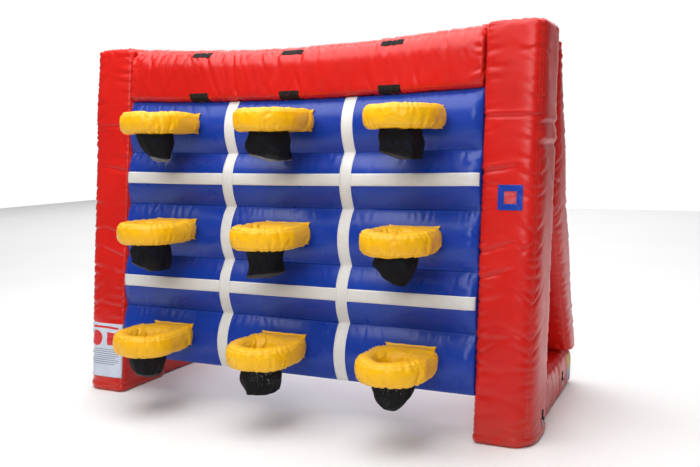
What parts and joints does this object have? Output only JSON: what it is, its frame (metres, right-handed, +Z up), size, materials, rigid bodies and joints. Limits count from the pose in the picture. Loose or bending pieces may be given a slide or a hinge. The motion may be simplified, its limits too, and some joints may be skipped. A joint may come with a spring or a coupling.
{
  "type": "inflatable tic tac toe toss game",
  "caption": "Inflated ball-toss game: two A-shaped side frames hold a leaning roll-walled board with taped cells, each with a D-shaped hoop and a mesh bag.",
  "frame": {"origin": "on the ground, under the middle of the game's outline", "axes": "+X to the right as the players see it, +Y from the players towards the back of the game, +Z up"},
  "size_m": [3.4042, 2.2408, 2.5317],
  "materials": {
    "red_vinyl": "semi-gloss PVC-coated polyester",
    "blue_vinyl": "semi-gloss PVC-coated polyester",
    "yellow_vinyl": "semi-gloss PVC-coated polyester",
    "white_tape": "satin PVC-coated tape",
    "black_mesh": "knotless polyester mesh",
    "hook_tape": "nylon hook-and-loop tape",
    "clear_vinyl": "clear PVC film",
    "white_print_vinyl": "satin printed PVC panel",
    "two_tone_vinyl": "satin printed PVC panel",
    "black_webbing": "woven polypropylene webbing",
    "plated_steel": "zinc plated, bright"
  },
  "bodies": {
    "game": {"anchor_tab_front_left": "black_webbing", "anchor_tab_front_right": "black_webbing", "anchor_tab_rear_left": "black_webbing", "anchor_tab_rear_right": "black_webbing", "base_tube_left": "red_vinyl", "base_tube_right": "red_vinyl", "column_left": "red_vinyl", "column_right": "red_vinyl", "foot_band_left": "red_vinyl", "foot_band_right": "red_vinyl", "hook_patch_lower_left": "hook_tape", "hook_patch_lower_middle": "hook_tape", "hook_patch_lower_right": "hook_tape", "hook_patch_upper_left": "hook_tape", "hook_patch_upper_middle": "hook_tape", "hook_patch_upper_right": "hook_tape", "hoop_bottom_left": "yellow_vinyl", "hoop_bottom_middle": "yellow_vinyl", "hoop_bottom_right": "yellow_vinyl", "hoop_middle_left": "yellow_vinyl", "hoop_middle_middle": "yellow_vinyl", "hoop_middle_right": "yellow_vinyl", "hoop_top_left": "yellow_vinyl", "hoop_top_middle": "yellow_vinyl", "hoop_top_right": "yellow_vinyl", "inflation_sleeve": "red_vinyl", "net_bottom_left": "black_mesh", "net_bottom_middle": "black_mesh", "net_bottom_right": "black_mesh", "net_middle_left": "black_mesh", "net_middle_middle": "black_mesh", "net_middle_right": "black_mesh", "net_top_left": "black_mesh", "net_top_middle": "black_mesh", "net_top_right": "black_mesh", "rear_leg_left": "red_vinyl", "rear_leg_right": "red_vinyl", "safety_panel": "white_print_vinyl", "side_panel": "two_tone_vinyl", "sleeve_strap": "black_webbing", "tape_level_lower": "white_tape", "tape_level_upper": "white_tape", "tape_upright_left": "white_tape", "tape_upright_right": "white_tape", "top_beam": "red_vinyl", "wall_roll_1": "blue_vinyl", "wall_roll_2": "blue_vinyl", "wall_roll_3": "blue_vinyl", "wall_roll_4": "blue_vinyl", "wall_roll_5": "blue_vinyl", "window_frame": "blue_vinyl", "window_pane": "clear_vinyl", "zip_flap_header": "red_vinyl", "zip_tape": "black_webbing"},
    "d_ring_front_left_body": {"d_ring_front_left": "plated_steel"},
    "d_ring_front_right_body": {"d_ring_front_right": "plated_steel"},
    "d_ring_rear_left_body": {"d_ring_rear_left": "plated_steel"},
    "d_ring_rear_right_body": {"d_ring_rear_right": "plated_steel"},
    "zip_flap_body": {"zip_flap": "red_vinyl"},
    "zip_slider_body": {"zip_slider": "plated_steel"}
  },
  "joints": [
    {"name": "d_ring_front_right_swing", "type": "hinge", "parent": "game", "child": "d_ring_front_right_body", "pos_m": [1.6957, -0.33155, 0.104], "axis": [0, -1, 0], "range_deg": [0, 150]},
    {"name": "d_ring_front_left_swing", "type": "hinge", "parent": "game", "child": "d_ring_front_left_body", "pos_m": [-1.6957, -0.33155, 0.104], "axis": [0, 1, 0], "range_deg": [0, 150]},
    {"name": "d_ring_rear_right_swing", "type": "hinge", "parent": "game", "child": "d_ring_rear_right_body", "pos_m": [1.6457, 0.58645, 0.104], "axis": [0, -1, 0], "range_deg": [0, 150]},
    {"name": "d_ring_rear_left_swing", "type": "hinge", "parent": "game", "child": "d_ring_rear_left_body", "pos_m": [-1.6457, 0.58645, 0.104], "axis": [0, 1, 0], "range_deg": [0, 150]},
    {"name": "zip_flap_lift", "type": "hinge", "parent": "game", "child": "zip_flap_body", "pos_m": [0.64, -0.23566, 0.46893], "axis": [1, 0, 0], "range_deg": [0, 150]},
    {"name": "zip_slider_travel", "type": "slide", "parent": "game", "child": "zip_slider_body", "axis": [1, 0, 0], "range_m": [0, 0.574]}
  ]
}
